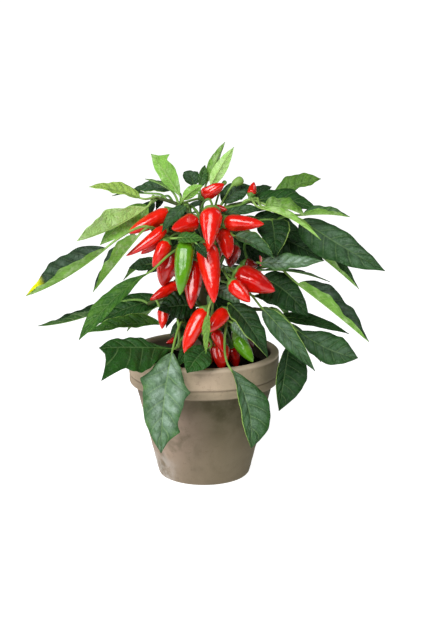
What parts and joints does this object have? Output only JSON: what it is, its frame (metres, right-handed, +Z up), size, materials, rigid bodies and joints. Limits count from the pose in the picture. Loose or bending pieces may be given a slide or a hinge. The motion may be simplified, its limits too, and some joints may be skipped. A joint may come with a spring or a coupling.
{
  "type": "potted chilli pepper plant",
  "caption": "Bushy ornamental chilli pepper plant with arching leaves and hanging conical fruits, growing in a round tapered clay pot filled with soil.",
  "frame": {"origin": "on the ground under the middle of the plant, on the axis of the pot", "axes": "+Z up along the pot axis; -Y is the front that the picture shows; +X is to the right of it"},
  "size_m": [0.3494, 0.243, 0.3283],
  "materials": {
    "pot": "unglazed clay, weathered grey-brown",
    "soil": "moist dark potting soil of bark and peat",
    "stem": "woody green-brown bark",
    "foliage": "waxy leaf, dark above and light yellow-green below",
    "pepper_red": "glossy ripe skin",
    "pepper_green": "glossy unripe skin"
  },
  "bodies": {
    "root": {"pepper_01": "pepper_red", "pepper_02": "pepper_red", "pepper_03": "pepper_red", "pepper_04": "pepper_red", "pepper_05": "pepper_red", "pepper_06": "pepper_red", "pepper_07": "pepper_red", "pepper_08": "pepper_red", "pepper_09": "pepper_green", "pepper_10": "pepper_red", "pepper_11": "pepper_red", "pepper_12": "pepper_red", "pepper_13": "pepper_red", "pepper_14": "pepper_red", "pepper_15": "pepper_red", "pepper_16": "pepper_red", "pepper_17": "pepper_red", "pepper_18": "pepper_red", "pepper_19": "pepper_red", "pepper_20": "pepper_red", "pepper_21": "pepper_red", "pepper_22": "pepper_red", "pepper_23": "pepper_red", "pepper_24": "pepper_red", "pepper_25": "pepper_red", "pepper_26": "pepper_red", "pepper_27": "pepper_red", "pepper_28": "pepper_green", "pepper_29": "pepper_red", "pepper_30": "pepper_red", "pepper_31": "pepper_red", "pepper_32": "pepper_red", "pepper_33": "pepper_red", "pot": "pot", "shoot_back_left": "foliage", "shoot_back_middle": "foliage", "shoot_back_right": "foliage", "shoot_left_low": "foliage", "shoot_left_up": "foliage", "shoot_low_left": "foliage", "shoot_low_right": "foliage", "shoot_right_low": "foliage", "shoot_right_mid": "foliage", "shoot_right_top": "foliage", "shoot_right_up": "foliage", "shoot_top": "foliage", "shoot_top_left": "foliage", "soil": "soil", "stem": "stem"}
  },
  "joints": []
}
